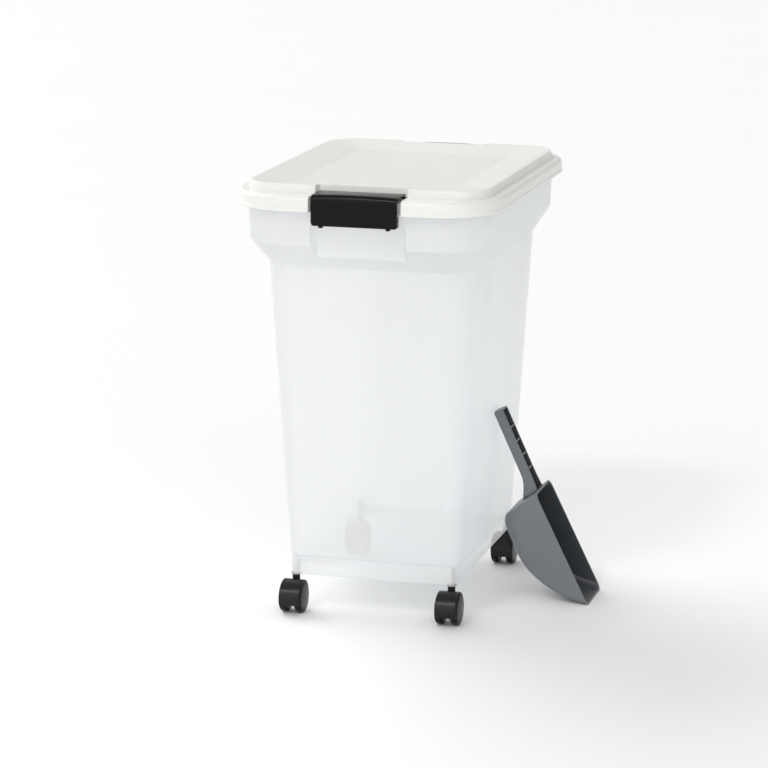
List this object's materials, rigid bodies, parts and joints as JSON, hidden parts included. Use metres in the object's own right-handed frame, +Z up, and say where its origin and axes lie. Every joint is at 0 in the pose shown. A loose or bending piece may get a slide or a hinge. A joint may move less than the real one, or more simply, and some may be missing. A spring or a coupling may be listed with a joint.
{
  "type": "pet food bin",
  "caption": "Tall translucent food storage bin on swivel casters, with a deep lift-off lid, a snap latch at each end and a feed scoop.",
  "frame": {"origin": "on the floor under the middle of the tub, so the wheels touch Z = 0", "axes": "+X to the bin's right, the side that the scoop leans on; the front latch is at -Y; +Z up"},
  "size_m": [0.4283, 0.474, 0.564],
  "materials": {
    "tub": "satin",
    "lid": "satin",
    "latch": "gloss",
    "gasket": "matte",
    "steel": "satin",
    "caster": "gloss",
    "wheel": "satin",
    "scoop": "satin"
  },
  "bodies": {
    "tub": {"bin_tub": "tub", "front_left_caster_stem": "steel", "front_right_caster_stem": "steel", "rear_left_caster_stem": "steel", "rear_right_caster_stem": "steel"},
    "lid": {"lid": "lid", "lid_gasket": "gasket", "front_latch_pin": "steel", "rear_latch_pin": "steel"},
    "front_latch": {"front_latch": "latch"},
    "rear_latch": {"rear_latch": "latch"},
    "scoop": {"scoop": "scoop"},
    "front_left_caster": {"front_left_caster_hood": "caster", "front_left_caster_axle": "steel"},
    "front_left_caster_left_wheel": {"front_left_caster_left_wheel": "wheel"},
    "front_left_caster_right_wheel": {"front_left_caster_right_wheel": "wheel"},
    "front_right_caster": {"front_right_caster_hood": "caster", "front_right_caster_axle": "steel"},
    "front_right_caster_left_wheel": {"front_right_caster_left_wheel": "wheel"},
    "front_right_caster_right_wheel": {"front_right_caster_right_wheel": "wheel"},
    "rear_left_caster": {"rear_left_caster_hood": "caster", "rear_left_caster_axle": "steel"},
    "rear_left_caster_left_wheel": {"rear_left_caster_left_wheel": "wheel"},
    "rear_left_caster_right_wheel": {"rear_left_caster_right_wheel": "wheel"},
    "rear_right_caster": {"rear_right_caster_hood": "caster", "rear_right_caster_axle": "steel"},
    "rear_right_caster_left_wheel": {"rear_right_caster_left_wheel": "wheel"},
    "rear_right_caster_right_wheel": {"rear_right_caster_right_wheel": "wheel"}
  },
  "joints": [
    {"name": "lid_lift", "type": "slide", "parent": "tub", "child": "lid", "axis": [0, 0, 1], "range_m": [0, 0.3]},
    {"name": "front_latch_turn", "type": "hinge", "parent": "lid", "child": "front_latch", "pos_m": [0, -0.197, 0.554], "axis": [-1, 0, 0], "range_deg": [-6, 105]},
    {"name": "rear_latch_turn", "type": "hinge", "parent": "lid", "child": "rear_latch", "pos_m": [0, 0.197, 0.554], "axis": [1, 0, 0], "range_deg": [-6, 105]},
    {"name": "scoop_lift", "type": "slide", "parent": "tub", "child": "scoop", "axis": [0.45, 0, 0.893], "range_m": [0, 0.15]},
    {"name": "front_left_caster_swivel", "type": "hinge", "parent": "tub", "child": "front_left_caster", "pos_m": [-0.1035, -0.149, 0.047], "axis": [0, 0, 1], "continuous": true},
    {"name": "front_left_caster_left_roll", "type": "hinge", "parent": "front_left_caster", "child": "front_left_caster_left_wheel", "pos_m": [-0.1035, -0.161, 0.02], "axis": [1, 0, 0], "continuous": true},
    {"name": "front_left_caster_right_roll", "type": "hinge", "parent": "front_left_caster", "child": "front_left_caster_right_wheel", "pos_m": [-0.1035, -0.161, 0.02], "axis": [1, 0, 0], "continuous": true},
    {"name": "front_right_caster_swivel", "type": "hinge", "parent": "tub", "child": "front_right_caster", "pos_m": [0.1035, -0.149, 0.047], "axis": [0, 0, 1], "continuous": true},
    {"name": "front_right_caster_left_roll", "type": "hinge", "parent": "front_right_caster", "child": "front_right_caster_left_wheel", "pos_m": [0.1035, -0.161, 0.02], "axis": [1, 0, 0], "continuous": true},
    {"name": "front_right_caster_right_roll", "type": "hinge", "parent": "front_right_caster", "child": "front_right_caster_right_wheel", "pos_m": [0.1035, -0.161, 0.02], "axis": [1, 0, 0], "continuous": true},
    {"name": "rear_left_caster_swivel", "type": "hinge", "parent": "tub", "child": "rear_left_caster", "pos_m": [-0.1035, 0.149, 0.047], "axis": [0, 0, 1], "continuous": true},
    {"name": "rear_left_caster_left_roll", "type": "hinge", "parent": "rear_left_caster", "child": "rear_left_caster_left_wheel", "pos_m": [-0.1035, 0.137, 0.02], "axis": [1, 0, 0], "continuous": true},
    {"name": "rear_left_caster_right_roll", "type": "hinge", "parent": "rear_left_caster", "child": "rear_left_caster_right_wheel", "pos_m": [-0.1035, 0.137, 0.02], "axis": [1, 0, 0], "continuous": true},
    {"name": "rear_right_caster_swivel", "type": "hinge", "parent": "tub", "child": "rear_right_caster", "pos_m": [0.1035, 0.149, 0.047], "axis": [0, 0, 1], "continuous": true},
    {"name": "rear_right_caster_left_roll", "type": "hinge", "parent": "rear_right_caster", "child": "rear_right_caster_left_wheel", "pos_m": [0.1035, 0.137, 0.02], "axis": [1, 0, 0], "continuous": true},
    {"name": "rear_right_caster_right_roll", "type": "hinge", "parent": "rear_right_caster", "child": "rear_right_caster_right_wheel", "pos_m": [0.1035, 0.137, 0.02], "axis": [1, 0, 0], "continuous": true}
  ]
}
